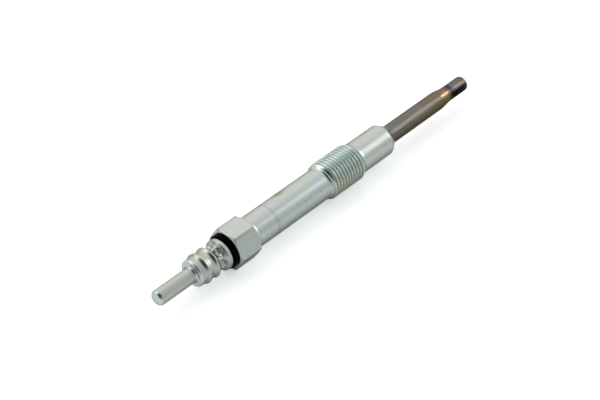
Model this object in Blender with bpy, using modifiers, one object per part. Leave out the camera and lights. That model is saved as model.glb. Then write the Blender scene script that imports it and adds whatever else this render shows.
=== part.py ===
"""A diesel engine's glow plug, lying on one flat of its hexagon as it comes to rest on a bench.

The plug's axis lies along X, with the end of the terminal pin at -X and the heater's tip at +X.  The origin
is halfway along the plug, on the surface that it lies on, with Z up.  Every piece is modelled on the plug's
own axis, with its stations counted from the end of the terminal pin, and is parented to an empty that lays
that axis down.  All sizes are in metres and all angles in degrees.
"""

import math

import bmesh
import bpy
from mathutils import Matrix, Vector

# Clearance left between pieces that touch, or are pressed together, on the real plug
SEAT_GAP = 0.00005

# Terminal: a round pin on a ridged collar, with a neck crimped on the centre pole and a flange behind it
PIN_DIAMETER = 0.0040
PIN_LENGTH = 0.0115
PIN_END_ROUNDING = 0.0006
PIN_END_DOME = 0.0001
PIN_ROOT_FILLET = 0.0005
COLLAR_DIAMETER = 0.0071
COLLAR_STEP_LENGTH = 0.0015
COLLAR_EDGE_ROUNDING = 0.0004
RIDGE_DIAMETER = 0.0080
RIDGE_COUNT = 2
RIDGE_SPACING = 0.0030
RIDGE_RISE = 0.0010
GROOVE_DIAMETER = 0.0072
NECK_DIAMETER = 0.0063
NECK_FALL = 0.00125
NECK_LENGTH = 0.00165
FLANGE_DIAMETER = 0.00815
FLANGE_SLOPE_LENGTH = 0.0004
FLANGE_RIM_LENGTH = 0.00095
FLANGE_EDGE_ROUNDING = 0.00012
CRIMP_COUNT = 6
CRIMP_TURN = 25.0
CRIMP_DEPTH = 0.00065
CRIMP_PUNCH_HEIGHT = 0.0044
CRIMP_PUNCH_WIDTH = 0.0084
CRIMP_PUNCH_LENGTH = 0.0023
POLE_SOCKET_DEPTH = 0.0075

# Insulating disc between the flange and the hexagon, with a boss that centres it in the body
DISC_DIAMETER = 0.0090
DISC_THICKNESS = 0.00145
DISC_RIM_LENGTH = 0.00075
DISC_EDGE_ROUNDING = 0.00065
DISC_BOSS_LENGTH = 0.0012

# Seal ring under the disc
SEAL_POCKET_DIAMETER = 0.0062
SEAL_POCKET_DEPTH = 0.0027
SEAL_ROUNDING_SHARE = 0.4

# Body: hexagon, shank, M10 x 1 threaded stretch, nose and conical seat, turned from one bar
HEX_SIDES = 6
HEX_ACROSS_FLATS = 0.0100
HEX_ACROSS_CORNERS = 0.01135
HEX_LENGTH = 0.0070
HEX_FACE_DIAMETER = 0.0098
HEX_FRONT_CHAMFER_ANGLE = 30.0
HEX_REAR_CHAMFER_ANGLE = 38.0
HEX_SHANK_FILLET = 0.0003
SHANK_DIAMETER = 0.00835
SHANK_LENGTH = 0.02585
THREAD_DIAMETER = 0.0099
THREAD_LENGTH = 0.0130
THREAD_FRONT_SLOPE_LENGTH = 0.00115
THREAD_REAR_SLOPE_LENGTH = 0.00115
NOSE_DIAMETER = 0.00835
NOSE_LENGTH = 0.01015
SEAT_HALF_ANGLE = 31.5
SEAT_END_DIAMETER = 0.0060
BODY_BORE_DIAMETER = 0.0046

# Glow tube: one closed tube, swaged down to a thinner tip
TUBE_DIAMETER = 0.0050
TUBE_WALL = 0.00055
TUBE_PRESSED_LENGTH = 0.0238
TUBE_OPEN_LENGTH = 0.01965
SWAGE_LENGTH = 0.0048
TIP_DIAMETER = 0.0041
TIP_LENGTH = 0.00665
TIP_ROUNDING = 0.0009
TIP_END_WALL = 0.0009

# Heater inside the tube: centre pole, seal, two windings in series and the powder packed round them
POLE_DIAMETER = 0.0034
POLE_NOSE_CLEARANCE = 0.00045
POLE_EDGE_CHAMFER = 0.00025
POLE_NECKING_LEAD = 0.0020
TUBE_SEAL_RECESS = 0.0003
TUBE_SEAL_LENGTH = 0.0032
WIRE_DIAMETER = 0.0004
WINDING_INSET = 0.00075
HEATING_TURNS = 6
HEATING_PITCH = 0.00095
REGULATING_TURNS = 11
REGULATING_PITCH = 0.0013
WIRE_LEAD_LENGTH = 0.0005

# Fineness of the round shapes
BODY_STEPS = 56
TERMINAL_STEPS = 36
DISC_STEPS = 40
TUBE_STEPS = 32
INNER_STEPS = 24
ARC_POINTS = 3
WAVE_POINTS = 5
PUNCH_SEGMENTS = 24
PUNCH_RINGS = 12
POINTS_PER_TURN = 9
BEND_POINTS = 3
WIRE_BEVEL_RESOLUTION = 2
MERGE_DISTANCE = 0.000001
SHARP_ANGLE = 28.0

# Stations along the plug's axis, counted from the end of the terminal pin
COLLAR_FACE = PIN_LENGTH
FIRST_CREST = COLLAR_FACE + COLLAR_STEP_LENGTH + RIDGE_RISE
LAST_CREST = FIRST_CREST + (RIDGE_COUNT - 1) * RIDGE_SPACING
NECK_START = LAST_CREST + NECK_FALL
FLANGE_START = NECK_START + NECK_LENGTH
FLANGE_BACK = FLANGE_START + FLANGE_SLOPE_LENGTH + FLANGE_RIM_LENGTH
DISC_FRONT = FLANGE_BACK + SEAT_GAP
DISC_BACK = DISC_FRONT + DISC_THICKNESS
HEX_FACE = DISC_BACK + SEAT_GAP
HEX_END = HEX_FACE + HEX_LENGTH
THREAD_START = HEX_END + SHANK_LENGTH
THREAD_END = THREAD_START + THREAD_LENGTH
NOSE_END = THREAD_END + NOSE_LENGTH
SEAT_LENGTH = (NOSE_DIAMETER - SEAT_END_DIAMETER) / 2 / math.tan(math.radians(SEAT_HALF_ANGLE))
BODY_END = NOSE_END + SEAT_LENGTH
TUBE_START = BODY_END - TUBE_PRESSED_LENGTH
SWAGE_START = BODY_END + TUBE_OPEN_LENGTH
TIP_START = SWAGE_START + SWAGE_LENGTH
PLUG_LENGTH = TIP_START + TIP_LENGTH
TUBE_FLOOR = PLUG_LENGTH - TIP_END_WALL
SEAL_POCKET_FLOOR = HEX_FACE + SEAL_POCKET_DEPTH
TUBE_SEAL_START = TUBE_START + TUBE_SEAL_RECESS
TUBE_SEAL_END = TUBE_SEAL_START + TUBE_SEAL_LENGTH
POLE_START = FLANGE_BACK - POLE_SOCKET_DEPTH + SEAT_GAP
POLE_NECKING = TUBE_START - POLE_NECKING_LEAD

# The pole's nose leaves room inside the tube's bore for the seal and the powder
POLE_NOSE_RADIUS = TUBE_DIAMETER / 2 - TUBE_WALL - POLE_NOSE_CLEARANCE

# The hexagon's flat lies on the ground, and so would the thread if it were the larger
AXIS_HEIGHT = max(HEX_ACROSS_FLATS, THREAD_DIAMETER) / 2


def clear_scene():
    """Removes whatever the file holds before the plug is modelled."""
    for old in list(bpy.data.objects):
        bpy.data.objects.remove(old, do_unlink=True)


def new_collection(name):
    """A new collection, linked to the scene."""
    collection = bpy.data.collections.new(name)
    bpy.context.scene.collection.children.link(collection)
    return collection


def new_material(name, color, roughness, metallic):
    """A material made of one Principled shader."""
    material = bpy.data.materials.new(name)
    material.use_nodes = True
    shader = material.node_tree.nodes["Principled BSDF"]
    shader.inputs["Base Color"].default_value = (*color, 1.0)
    shader.inputs["Roughness"].default_value = roughness
    shader.inputs["Metallic"].default_value = metallic
    return material


def arc(center_station, center_radius, size, start_degrees, end_degrees):
    """Points of a round corner, as (station, radius).

    An angle of 0 degrees points towards the heater, and one of 90 straight away from the axis.
    """
    points = []
    for index in range(ARC_POINTS + 1):
        share = index / ARC_POINTS
        angle = math.radians(start_degrees + (end_degrees - start_degrees) * share)
        station = center_station + size * math.cos(angle)
        points.append((station, center_radius + size * math.sin(angle)))
    return points


def wave(turning_points):
    """A smooth outline that swells and narrows between its turning points, given as (station, radius)."""
    points = [turning_points[0]]
    for (station_a, radius_a), (station_b, radius_b) in zip(turning_points, turning_points[1:]):
        for index in range(1, WAVE_POINTS + 1):
            share = index / WAVE_POINTS
            ease = (1 - math.cos(math.pi * share)) / 2
            station = station_a + (station_b - station_a) * share
            points.append((station, radius_a + (radius_b - radius_a) * ease))
    return points


def turned(name, outline, steps, collection, empty):
    """A shape turned about the plug's axis.

    The outline is a list of (station, radius) that runs along the outer side from the heater's end to the
    pin's end.  It closes on itself, unless it starts and ends on the axis.
    """
    mesh = bpy.data.meshes.new(name)
    edges = [(index, index + 1) for index in range(len(outline) - 1)]
    if outline[0][1] > 0:
        edges.append((len(outline) - 1, 0))
    mesh.from_pydata([(radius, 0.0, station) for station, radius in outline], edges, [])
    shape = bpy.data.objects.new(name, mesh)
    collection.objects.link(shape)
    shape.parent = empty
    screw = shape.modifiers.new("turning", "SCREW")
    screw.axis = "Z"
    screw.angle = 2 * math.pi
    screw.steps = steps
    screw.render_steps = steps
    screw.use_merge_vertices = True
    screw.merge_threshold = MERGE_DISTANCE
    return shape


def cut(shape, cutter, label):
    """Takes a cutter's volume away from a shape."""
    boolean = shape.modifiers.new(label, "BOOLEAN")
    boolean.operation = "DIFFERENCE"
    boolean.solver = "EXACT"
    boolean.object = cutter


def evaluated_mesh(shape):
    """A mesh of a shape as its modifiers, or its curve's settings, make it."""
    bpy.context.view_layer.update()
    graph = bpy.context.evaluated_depsgraph_get()
    return bpy.data.meshes.new_from_object(shape.evaluated_get(graph), depsgraph=graph)


def hide_cutter(cutter):
    """Shows a cutter as wires and keeps it out of renders."""
    cutter.hide_render = True
    cutter.display_type = "WIRE"


def finish(shape, material):
    """Fixes a shape's modifiers in its mesh, shades it smooth between its edges and gives it its material."""
    mesh = evaluated_mesh(shape)
    shape.modifiers.clear()
    shape.data = mesh
    mesh.name = shape.name
    mesh.shade_smooth()
    mesh.set_sharp_from_angle(angle=math.radians(SHARP_ANGLE))
    mesh.materials.clear()
    mesh.materials.append(material)
    return shape


def tube_bore_radius(station):
    """The glow tube's inner radius at a station, which narrows through the swaged stretch."""
    share = min(max((station - SWAGE_START) / SWAGE_LENGTH, 0.0), 1.0)
    ease = (1 - math.cos(math.pi * share)) / 2
    return TUBE_DIAMETER / 2 - TUBE_WALL + (TIP_DIAMETER - TUBE_DIAMETER) / 2 * ease


def swage_outline(offset):
    """The swaged stretch's outline from tip to tube, at an offset inside the tube's outer surface."""
    tip = (TIP_START, TIP_DIAMETER / 2 - offset)
    return wave([tip, (SWAGE_START, TUBE_DIAMETER / 2 - offset)])


def make_terminal_pin(parts, cutters, empty, material):
    """The round pin, its ridged collar, the crimped neck and the flange: one turned piece with a socket."""
    socket_radius = POLE_DIAMETER / 2 + SEAT_GAP
    socket_floor = FLANGE_BACK - POLE_SOCKET_DEPTH
    rim_front = FLANGE_BACK - FLANGE_RIM_LENGTH
    flange_radius = FLANGE_DIAMETER / 2
    neck_radius = NECK_DIAMETER / 2
    turning_points = [(NECK_START, neck_radius), (LAST_CREST, RIDGE_DIAMETER / 2)]
    for index in range(1, RIDGE_COUNT):
        crest = LAST_CREST - index * RIDGE_SPACING
        turning_points.append((crest + RIDGE_SPACING / 2, GROOVE_DIAMETER / 2))
        turning_points.append((crest, RIDGE_DIAMETER / 2))
    turning_points.append((COLLAR_FACE + COLLAR_STEP_LENGTH, COLLAR_DIAMETER / 2))

    outline = [(socket_floor, 0.0), (socket_floor, socket_radius), (FLANGE_BACK, socket_radius)]
    edge = FLANGE_EDGE_ROUNDING
    outline += arc(FLANGE_BACK - edge, flange_radius - edge, edge, 0, 90)
    outline += arc(rim_front + edge, flange_radius - edge, edge, 90, 180)
    outline.append((FLANGE_START, neck_radius))
    outline += wave(turning_points)
    edge = COLLAR_EDGE_ROUNDING
    outline += arc(COLLAR_FACE + edge, COLLAR_DIAMETER / 2 - edge, edge, 90, 180)
    fillet = PIN_ROOT_FILLET
    outline += arc(COLLAR_FACE - fillet, PIN_DIAMETER / 2 + fillet, fillet, 0, -90)
    edge = PIN_END_ROUNDING
    outline += arc(PIN_END_DOME + edge, PIN_DIAMETER / 2 - edge, edge, 90, 180)
    outline.append((0.0, 0.0))
    terminal = turned("terminal_pin", outline, TERMINAL_STEPS, parts, empty)

    # Each crimp is the print of a rounded punch, centred on the neck, that just reaches the flange's slope
    neck_middle = (NECK_START + FLANGE_START) / 2
    punch_radius = neck_radius - CRIMP_DEPTH + CRIMP_PUNCH_HEIGHT / 2
    for index in range(CRIMP_COUNT):
        mesh = bpy.data.meshes.new("crimp_punch")
        shape = bmesh.new()
        size = Matrix.Diagonal((CRIMP_PUNCH_HEIGHT, CRIMP_PUNCH_WIDTH, CRIMP_PUNCH_LENGTH, 1.0))
        bmesh.ops.create_uvsphere(
            shape, u_segments=PUNCH_SEGMENTS, v_segments=PUNCH_RINGS, radius=0.5, matrix=size
        )
        shape.to_mesh(mesh)
        shape.free()
        punch = bpy.data.objects.new("crimp_punch", mesh)
        cutters.objects.link(punch)
        punch.parent = empty
        angle = math.radians(CRIMP_TURN) + 2 * math.pi * index / CRIMP_COUNT
        punch.location = (punch_radius * math.cos(angle), punch_radius * math.sin(angle), neck_middle)
        punch.rotation_euler = (0.0, 0.0, angle)
        hide_cutter(punch)
        cut(terminal, punch, "crimp")
    return finish(terminal, material)


def make_insulating_disc(parts, empty, material):
    """The moulded disc that keeps the terminal off the body, with a boss that sits in the seal's pocket."""
    bore_radius = POLE_DIAMETER / 2 + SEAT_GAP
    boss_radius = SEAL_POCKET_DIAMETER / 2 - SEAT_GAP
    rim_front = DISC_BACK - DISC_RIM_LENGTH
    edge = DISC_EDGE_ROUNDING
    boss_end = DISC_BACK + DISC_BOSS_LENGTH
    outline = [(boss_end, bore_radius), (boss_end, boss_radius), (DISC_BACK, boss_radius)]
    outline.append((DISC_BACK, DISC_DIAMETER / 2))
    outline += arc(rim_front, DISC_DIAMETER / 2 - edge, edge, 90, 180)
    outline += [(DISC_FRONT, DISC_DIAMETER / 2 - edge), (DISC_FRONT, bore_radius)]
    return finish(turned("insulating_disc", outline, DISC_STEPS, parts, empty), material)


def make_body_seal(parts, empty, material):
    """The rubber ring round the pole, pressed between the pocket's floor and the disc's boss."""
    inner = POLE_DIAMETER / 2 + SEAT_GAP
    outer = SEAL_POCKET_DIAMETER / 2 - SEAT_GAP
    start = DISC_BACK + DISC_BOSS_LENGTH + SEAT_GAP
    end = SEAL_POCKET_FLOOR - SEAT_GAP
    edge = min(outer - inner, end - start) * SEAL_ROUNDING_SHARE
    outline = arc(end - edge, outer - edge, edge, 0, 90)
    outline += arc(start + edge, outer - edge, edge, 90, 180)
    outline += arc(start + edge, inner + edge, edge, 180, 270)
    outline += arc(end - edge, inner + edge, edge, 270, 360)[:-1]
    return finish(turned("body_seal", outline, INNER_STEPS, parts, empty), material)


def make_plug_body(parts, cutters, empty, material):
    """The body: turned with its stepped bore from end to end, and milled to a hexagon at one end."""
    corner_radius = HEX_ACROSS_CORNERS / 2
    face_radius = HEX_FACE_DIAMETER / 2
    shank_radius = SHANK_DIAMETER / 2
    thread_radius = THREAD_DIAMETER / 2
    front_chamfer = (corner_radius - face_radius) * math.tan(math.radians(HEX_FRONT_CHAMFER_ANGLE))
    rear_chamfer = (corner_radius - face_radius) * math.tan(math.radians(HEX_REAR_CHAMFER_ANGLE))
    fillet = HEX_SHANK_FILLET
    tube_bore = TUBE_DIAMETER / 2 + SEAT_GAP
    tube_shoulder = TUBE_START - SEAT_GAP

    outline = [(BODY_END, SEAT_END_DIAMETER / 2), (NOSE_END, NOSE_DIAMETER / 2)]
    outline.append((THREAD_END, NOSE_DIAMETER / 2))
    outline.append((THREAD_END - THREAD_REAR_SLOPE_LENGTH, thread_radius))
    outline.append((THREAD_START + THREAD_FRONT_SLOPE_LENGTH, thread_radius))
    outline.append((THREAD_START, shank_radius))
    outline += arc(HEX_END + fillet, shank_radius + fillet, fillet, 270, 180)
    outline += [(HEX_END, face_radius), (HEX_END - rear_chamfer, corner_radius)]
    outline += [(HEX_FACE + front_chamfer, corner_radius), (HEX_FACE, face_radius)]
    outline += [(HEX_FACE, SEAL_POCKET_DIAMETER / 2), (SEAL_POCKET_FLOOR, SEAL_POCKET_DIAMETER / 2)]
    outline += [(SEAL_POCKET_FLOOR, BODY_BORE_DIAMETER / 2), (tube_shoulder, BODY_BORE_DIAMETER / 2)]
    outline += [(tube_shoulder, tube_bore), (BODY_END, tube_bore)]
    body = turned("plug_body", outline, BODY_STEPS, parts, empty)

    # The milling ring has a hexagonal hole and is wider than the bar, so only the hexagon is left
    hole_corner = HEX_ACROSS_FLATS / 2 / math.cos(math.pi / HEX_SIDES)
    ring_outside = HEX_ACROSS_CORNERS
    ring_start = HEX_FACE - HEX_SHANK_FILLET
    ring_end = HEX_END + HEX_SHANK_FILLET
    ring = [(ring_end, ring_outside), (ring_start, ring_outside)]
    ring += [(ring_start, hole_corner), (ring_end, hole_corner)]
    milling_ring = turned("hexagon_milling_ring", ring, HEX_SIDES, cutters, empty)
    milling_ring.rotation_euler = (0.0, 0.0, math.pi / HEX_SIDES)
    hide_cutter(milling_ring)
    cut(body, milling_ring, "hexagon")
    return finish(body, material)


def make_glow_tube(parts, empty, material):
    """The heater's sheath: one thin tube, closed and rounded at the tip and swaged down behind it."""
    tip_radius = TIP_DIAMETER / 2
    tube_radius = TUBE_DIAMETER / 2
    outline = [(PLUG_LENGTH, 0.0)]
    outline += arc(PLUG_LENGTH - TIP_ROUNDING, tip_radius - TIP_ROUNDING, TIP_ROUNDING, 0, 90)
    outline += swage_outline(0.0)
    outline += [(TUBE_START, tube_radius), (TUBE_START, tube_radius - TUBE_WALL)]
    outline += list(reversed(swage_outline(TUBE_WALL)))
    outline += [(TUBE_FLOOR, tip_radius - TUBE_WALL), (TUBE_FLOOR, 0.0)]
    return finish(turned("glow_tube", outline, TUBE_STEPS, parts, empty), material)


def make_tube_seal(parts, empty, material):
    """The rubber sleeve that closes the glow tube's open end round the pole."""
    outer = TUBE_DIAMETER / 2 - TUBE_WALL - SEAT_GAP
    inner = POLE_NOSE_RADIUS + SEAT_GAP
    outline = [(TUBE_SEAL_END, inner), (TUBE_SEAL_END, outer)]
    outline += [(TUBE_SEAL_START, outer), (TUBE_SEAL_START, inner)]
    return finish(turned("tube_seal", outline, INNER_STEPS, parts, empty), material)


def wire_route():
    """The centre line of the heater's wire, and the index of the point where the two windings are welded.

    The wire starts at its weld in the tube's tip, runs a short way along the axis, bends into the close
    winding of the heating coil, carries on as the wider regulating coil and ends along the axis on the pole.
    Its radius follows the tube's bore.
    """
    station = TUBE_FLOOR - SEAT_GAP
    angle = 0.0
    route = []

    def add_point():
        radius = tube_bore_radius(station) - WINDING_INSET
        route.append(Vector((radius * math.cos(angle), radius * math.sin(angle), station)))
        return radius

    radius = add_point()
    station -= WIRE_LEAD_LENGTH
    radius = add_point()
    tilts = [math.radians(90.0) * index / (BEND_POINTS + 1) for index in range(1, BEND_POINTS + 1)]
    bend_step = 2 * math.pi * radius / POINTS_PER_TURN
    for tilt in tilts:
        station -= bend_step * math.cos(tilt)
        angle += bend_step * math.sin(tilt) / radius
        radius = add_point()
    weld_index = None
    for turns, pitch in ((HEATING_TURNS, HEATING_PITCH), (REGULATING_TURNS, REGULATING_PITCH)):
        for index in range(turns * POINTS_PER_TURN):
            station -= pitch / POINTS_PER_TURN
            angle += 2 * math.pi / POINTS_PER_TURN
            radius = add_point()
        if weld_index is None:
            weld_index = len(route) - 1
    for tilt in reversed(tilts):
        station -= bend_step * math.cos(tilt)
        angle += bend_step * math.sin(tilt) / radius
        radius = add_point()
    station -= WIRE_LEAD_LENGTH
    add_point()
    return route, weld_index


def wire(name, route, diameter, collection, empty):
    """A round wire along a route."""
    curve = bpy.data.curves.new(name, "CURVE")
    curve.dimensions = "3D"
    curve.bevel_depth = diameter / 2
    curve.bevel_resolution = WIRE_BEVEL_RESOLUTION
    curve.use_fill_caps = True
    spline = curve.splines.new("POLY")
    spline.points.add(len(route) - 1)
    for point, place in zip(spline.points, route):
        point.co = (*place, 1.0)
    shape = bpy.data.objects.new(name, curve)
    collection.objects.link(shape)
    shape.parent = empty
    return shape


def shortened(end, neighbour):
    """An end point moved along its wire by half the gap of a weld."""
    return end + (neighbour - end).normalized() * SEAT_GAP / 2


def make_windings(parts, empty, heating_material, regulating_material):
    """The heating coil in the tip and the regulating coil behind it, wound on one route."""
    route, weld_index = wire_route()
    heating_route = route[:weld_index] + [shortened(route[weld_index], route[weld_index - 1])]
    regulating_route = [shortened(route[weld_index], route[weld_index + 1])] + route[weld_index + 1:]
    heating = wire("heating_coil", heating_route, WIRE_DIAMETER, parts, empty)
    heating.data.materials.append(heating_material)
    regulating = wire("regulating_coil", regulating_route, WIRE_DIAMETER, parts, empty)
    regulating.data.materials.append(regulating_material)


def make_insulating_powder(parts, cutters, empty, material):
    """The pressed magnesium oxide that fills the tube round the windings and the end of the pole.

    The wire's own tunnel is cut from the solid, so the powder lies round, inside and between the turns.
    """
    route, _ = wire_route()
    pole_end = route[-1].z - SEAT_GAP
    front = TUBE_FLOOR - SEAT_GAP
    rear = TUBE_SEAL_END + SEAT_GAP
    offset = TUBE_WALL + SEAT_GAP
    pole_bore = POLE_NOSE_RADIUS + SEAT_GAP
    outline = [(front, 0.0), (front, TIP_DIAMETER / 2 - offset)]
    outline += swage_outline(offset)
    outline += [(rear, TUBE_DIAMETER / 2 - offset), (rear, pole_bore)]
    outline += [(pole_end + SEAT_GAP, pole_bore), (pole_end + SEAT_GAP, 0.0)]
    powder = turned("insulating_powder", outline, INNER_STEPS, parts, empty)

    # The flat sides of the tunnel clear the wire all round, and its ends run out of the powder
    sides = 4 + 2 * WIRE_BEVEL_RESOLUTION
    tunnel_diameter = (WIRE_DIAMETER + 2 * SEAT_GAP) / math.cos(math.pi / sides)
    overrun = Vector((0.0, 0.0, WIRE_DIAMETER / 2))
    tunnel_route = [route[0] + overrun] + route[1:-1] + [route[-1] - overrun]
    tunnel_curve = wire("wire_tunnel_curve", tunnel_route, tunnel_diameter, cutters, empty)
    mesh = evaluated_mesh(tunnel_curve)
    shape = bmesh.new()
    shape.from_mesh(mesh)
    bmesh.ops.remove_doubles(shape, verts=shape.verts, dist=MERGE_DISTANCE)
    bmesh.ops.recalc_face_normals(shape, faces=shape.faces)
    shape.to_mesh(mesh)
    shape.free()
    tunnel = bpy.data.objects.new("wire_tunnel", mesh)
    cutters.objects.link(tunnel)
    tunnel.matrix_world = tunnel_curve.matrix_world
    bpy.data.objects.remove(tunnel_curve, do_unlink=True)
    hide_cutter(tunnel)
    cut(powder, tunnel, "wire tunnel")
    return finish(powder, material)


def make_centre_pole(parts, empty, material):
    """The rod that carries the current from the terminal's socket through the body to the windings."""
    route, _ = wire_route()
    pole_end = route[-1].z - SEAT_GAP
    radius = POLE_DIAMETER / 2
    chamfer = POLE_EDGE_CHAMFER
    step = radius - POLE_NOSE_RADIUS
    outline = [(pole_end, 0.0), (pole_end, POLE_NOSE_RADIUS)]
    outline += [(POLE_NECKING + step, POLE_NOSE_RADIUS), (POLE_NECKING, radius)]
    outline += [(POLE_START + chamfer, radius), (POLE_START, radius - chamfer), (POLE_START, 0.0)]
    return finish(turned("centre_pole", outline, INNER_STEPS, parts, empty), material)


def build_glow_plug():
    """Models the whole plug."""
    clear_scene()
    parts = new_collection("diesel_glow_plug")
    cutters = new_collection("cutters")
    empty = bpy.data.objects.new("plug_axis", None)
    parts.objects.link(empty)
    empty.location = (-PLUG_LENGTH / 2, 0.0, AXIS_HEIGHT)
    empty.rotation_euler = (0.0, math.radians(90.0), 0.0)

    zinc = new_material("zinc_plated_steel", (0.62, 0.66, 0.64), 0.32, 1.0)
    plated_terminal = new_material("bright_plated_steel", (0.70, 0.72, 0.70), 0.22, 1.0)
    black_plastic = new_material("black_moulding", (0.012, 0.012, 0.014), 0.25, 0.0)
    seal_rubber = new_material("seal_rubber", (0.02, 0.02, 0.02), 0.6, 0.0)
    heat_tinted = new_material("heat_tinted_alloy", (0.20, 0.17, 0.15), 0.42, 1.0)
    tube_rubber = new_material("tube_seal_rubber", (0.25, 0.06, 0.04), 0.6, 0.0)
    heating_wire = new_material("heating_wire", (0.45, 0.42, 0.38), 0.35, 1.0)
    regulating_wire = new_material("regulating_wire", (0.60, 0.57, 0.50), 0.3, 1.0)
    pressed_powder = new_material("pressed_powder", (0.85, 0.84, 0.80), 0.9, 0.0)
    plain_steel = new_material("plain_steel", (0.55, 0.55, 0.55), 0.35, 1.0)

    make_terminal_pin(parts, cutters, empty, plated_terminal)
    make_insulating_disc(parts, empty, black_plastic)
    make_body_seal(parts, empty, seal_rubber)
    make_plug_body(parts, cutters, empty, zinc)
    make_glow_tube(parts, empty, heat_tinted)
    make_tube_seal(parts, empty, tube_rubber)
    make_windings(parts, empty, heating_wire, regulating_wire)
    make_insulating_powder(parts, cutters, empty, pressed_powder)
    make_centre_pole(parts, empty, plain_steel)


build_glow_plug()
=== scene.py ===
# %% [markdown]
# # A glow plug for a diesel engine, lying on a bench
# This lesson dresses a plain CAD model of a glow plug: a steel body with a hexagon and a fine thread, a thin
# heater tube, a black insulating disc and a ridged terminal with a round pin.  The CAD model stays where it is.
# It gives the sizes and the places, and each cell here adds one piece, one finish or one part of the studio.
# All objects are in metres, with the plug's axis along X, the pin at -X and the heater's tip at +X.

# %% Load the CAD model as the fixed frame
import math

import bmesh
import bpy
import numpy as np
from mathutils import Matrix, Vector


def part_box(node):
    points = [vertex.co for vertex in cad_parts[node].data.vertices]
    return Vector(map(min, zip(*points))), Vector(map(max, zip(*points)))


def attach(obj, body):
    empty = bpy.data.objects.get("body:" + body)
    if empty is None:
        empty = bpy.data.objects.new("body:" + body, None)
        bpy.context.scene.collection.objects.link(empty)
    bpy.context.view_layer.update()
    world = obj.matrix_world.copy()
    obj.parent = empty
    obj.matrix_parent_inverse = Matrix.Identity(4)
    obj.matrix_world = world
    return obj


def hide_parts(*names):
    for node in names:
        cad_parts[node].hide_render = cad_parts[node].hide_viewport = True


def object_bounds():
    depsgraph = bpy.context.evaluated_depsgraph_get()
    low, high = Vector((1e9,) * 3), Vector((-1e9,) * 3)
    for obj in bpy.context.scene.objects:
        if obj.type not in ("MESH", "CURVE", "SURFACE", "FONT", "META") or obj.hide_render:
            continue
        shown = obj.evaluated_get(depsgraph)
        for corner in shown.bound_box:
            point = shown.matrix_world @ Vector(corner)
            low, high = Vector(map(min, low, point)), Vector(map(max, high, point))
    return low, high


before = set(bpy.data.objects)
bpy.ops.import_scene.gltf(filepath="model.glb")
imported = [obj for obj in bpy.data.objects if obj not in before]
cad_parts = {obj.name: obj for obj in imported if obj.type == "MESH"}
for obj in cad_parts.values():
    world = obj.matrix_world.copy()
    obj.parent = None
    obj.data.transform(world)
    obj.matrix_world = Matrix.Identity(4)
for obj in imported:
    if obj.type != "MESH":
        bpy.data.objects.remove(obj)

cad_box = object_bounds()
print("CAD pieces:", ", ".join(sorted(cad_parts)))

# %% [markdown]
# ## Where things are
# A turned part is drawn from one end to the other, so every place on it is a station: the distance from the end
# of the pin.  The drawing is in millimetres, because that is how a turner reads it, and the meshes are made in
# metres.  The ends of the pieces come from the CAD model's own boxes.  Pieces that touch on the real plug are a
# small seat gap apart, as they are in the CAD model.

# %% Stations along the axis, in millimetres from the pin's end
MM = 0.001
PIN_END_X = cad_box[0][0]
AXIS_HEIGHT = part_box("glow_tube")[0][2] / 2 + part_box("glow_tube")[1][2] / 2
SEAT_GAP = 0.05


def station_of(x):
    """The station, in millimetres, of a place on the X axis."""
    return (x - PIN_END_X) / MM


flange_back = station_of(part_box("terminal_pin")[1][0])
disc_front = station_of(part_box("insulating_disc")[0][0])
hex_face = station_of(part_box("plug_body")[0][0])
body_end = station_of(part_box("plug_body")[1][0])
tube_start = station_of(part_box("glow_tube")[0][0])
plug_length = station_of(cad_box[1][0])
print(f"flange {flange_back:.2f}, hexagon {hex_face:.2f}, body's end {body_end:.2f}, tip {plug_length:.2f} mm")

# %% [markdown]
# ## The camera
# The picture was taken from the pin's side, well above the bench, with a long lens.  A long lens keeps the
# plug's taper small, and a small shift moves the plug to its place in the frame without turning it.

# %% Set up the camera
VIEW_AZIMUTH = math.radians(-47.6)
VIEW_ELEVATION = math.radians(40.3)
VIEW_DISTANCE = 0.430
AIM_STATION = 52.3

towards_camera = Vector((
    math.sin(VIEW_AZIMUTH) * math.cos(VIEW_ELEVATION),
    -math.cos(VIEW_AZIMUTH) * math.cos(VIEW_ELEVATION),
    math.sin(VIEW_ELEVATION),
))
aim = Vector((PIN_END_X + AIM_STATION * MM, 0.0, AXIS_HEIGHT))
lens = bpy.data.cameras.new("camera")
lens.sensor_width = 36.0
lens.lens = 105.5
lens.shift_x = -10.2 / 600
lens.shift_y = -9.7 / 600
lens.clip_start = 0.01
camera = bpy.data.objects.new("camera", lens)
bpy.context.scene.collection.objects.link(camera)
camera.location = aim + towards_camera * VIEW_DISTANCE
camera.rotation_euler = towards_camera.to_track_quat("Z", "Y").to_euler()
bpy.context.scene.camera = camera
bpy.context.scene.view_settings.view_transform = "Standard"
print("camera at", [round(value, 4) for value in camera.location])

# %% [markdown]
# ## The studio
# Bright metal shows its surroundings more than its own colour, so the studio is part of the finish.  This one is
# a white tent.  It is open on the photographer's side, which puts soft dark bands on every surface that faces
# the lens.  The cloth is brighter at the back than at the front, and it has three soft places of its own: a
# bright window high at the back, a dim corner low at the back, and a bright door beyond the heater's tip.  All
# this could be built from cards, but a few numbers in the world do the same with no edges to hide.  The metal
# shows the tent.  The lens, and anything clear, sees plain white behind the plug.

# %% Small helpers for node trees
def add_node(tree, kind, settings=None, **values):
    """Adds a node, sets its properties, then sets or links its inputs by name (spaces as underscores)."""
    node = tree.nodes.new(kind)
    for key, value in (settings or {}).items():
        setattr(node, key, value)
    for key, value in values.items():
        socket = node.inputs[key.replace("_", " ")]
        if isinstance(value, bpy.types.NodeSocket):
            tree.links.new(value, socket)
        else:
            socket.default_value = value
    return node


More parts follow.
